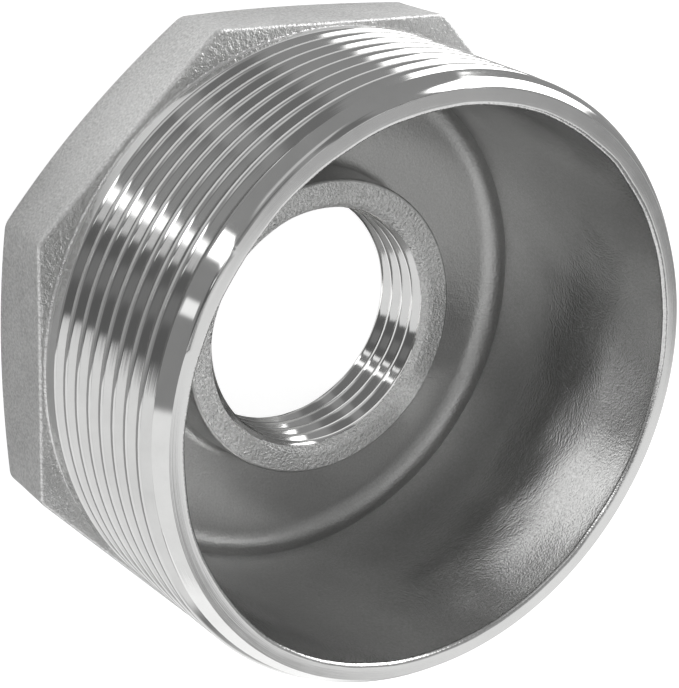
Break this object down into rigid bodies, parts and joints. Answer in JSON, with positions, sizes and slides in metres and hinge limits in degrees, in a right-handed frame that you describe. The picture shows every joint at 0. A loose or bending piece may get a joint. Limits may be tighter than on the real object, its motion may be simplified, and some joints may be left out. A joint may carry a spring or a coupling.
{
  "type": "reducing bushing",
  "caption": "Reducing bushing for threaded pipe: tapered male thread on a hollow shank, polygonal wrench head and a smaller female thread through a central boss",
  "frame": {"origin": "centre of the wrench head's rear face, where the female thread opens", "axes": "+Z along the pipe axis towards the open rim of the male thread, +X through the middle of one flat of the head"},
  "size_m": [0.0612, 0.0612, 0.0296],
  "materials": {
    "stainless_steel": "fine blasted casting with turned threads, rim and head face"
  },
  "bodies": {
    "root": {"hex_bushing": "stainless_steel"}
  },
  "joints": []
}
